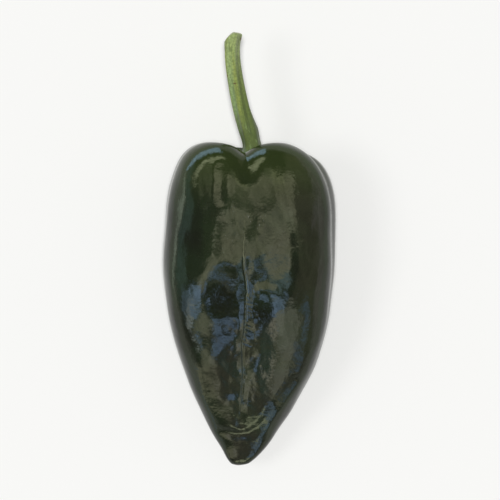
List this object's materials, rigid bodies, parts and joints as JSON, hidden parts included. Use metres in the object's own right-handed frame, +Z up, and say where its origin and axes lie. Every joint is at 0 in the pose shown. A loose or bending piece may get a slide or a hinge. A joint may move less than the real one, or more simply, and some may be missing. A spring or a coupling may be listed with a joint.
{
  "type": "poblano pepper",
  "caption": "Broad dark green chilli pepper that tapers to a blunt tip, with a cleft between its shoulders and a curved cut stem, lying on its side.",
  "frame": {"origin": "on the surface that the pepper lies on, under the middle of the whole part's box", "axes": "+Y along the fruit from its tip to its stem; +Z up, through the front cleft; +X to the right, seen from above with the stem away from the viewer"},
  "size_m": [0.0664, 0.1655, 0.0469],
  "materials": {
    "pod_skin": "waxy, very glossy, near-black green skin (gloss_plastic stands in for it)",
    "stem_skin": "satin, ribbed, pale yellow-green plant stem (matte_plastic stands in for it)"
  },
  "bodies": {
    "root": {"pod": "pod_skin", "stem": "stem_skin"}
  },
  "joints": []
}
